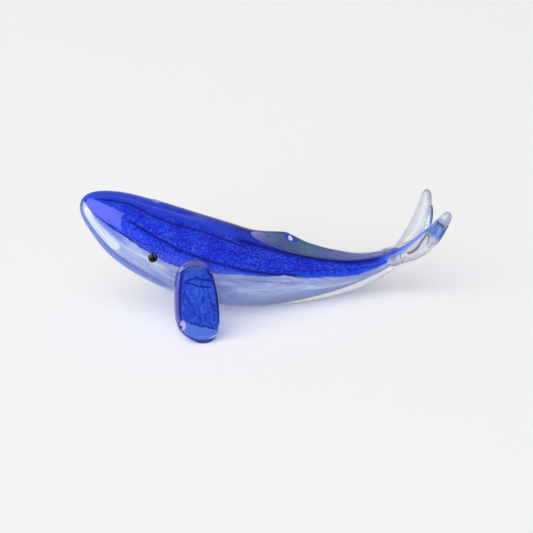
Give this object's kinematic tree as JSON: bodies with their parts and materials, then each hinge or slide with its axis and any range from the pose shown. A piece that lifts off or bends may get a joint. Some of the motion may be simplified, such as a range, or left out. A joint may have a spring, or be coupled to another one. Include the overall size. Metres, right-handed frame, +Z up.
{
  "type": "whale figurine",
  "caption": "Solid hot-worked glass whale with a cobalt blue back, milky belly, flat blue flippers and clear upturned tail flukes.",
  "frame": {"origin": "centre of the small ground flat under the belly, on the table", "axes": "+X from the nose to the tail, +Z up, -Y to the whale's left side"},
  "size_m": [0.1767, 0.0688, 0.0667],
  "materials": {
    "clear_glass": "polished",
    "core_glass": "polished",
    "cobalt_glass": "polished",
    "opal_glass": "polished",
    "flipper_blue_glass": "polished",
    "black_glass": "polished"
  },
  "bodies": {
    "root": {"body_casing": "clear_glass", "body_core": "core_glass", "back_overlay": "cobalt_glass", "belly_overlay": "opal_glass", "dorsal_fin": "clear_glass", "left_eye": "black_glass", "right_eye": "black_glass", "left_flipper_casing": "clear_glass", "right_flipper_casing": "clear_glass", "left_flipper_core": "flipper_blue_glass", "right_flipper_core": "flipper_blue_glass", "left_fluke": "clear_glass", "right_fluke": "clear_glass", "left_fluke_streak": "cobalt_glass", "right_fluke_streak": "cobalt_glass"}
  },
  "joints": []
}
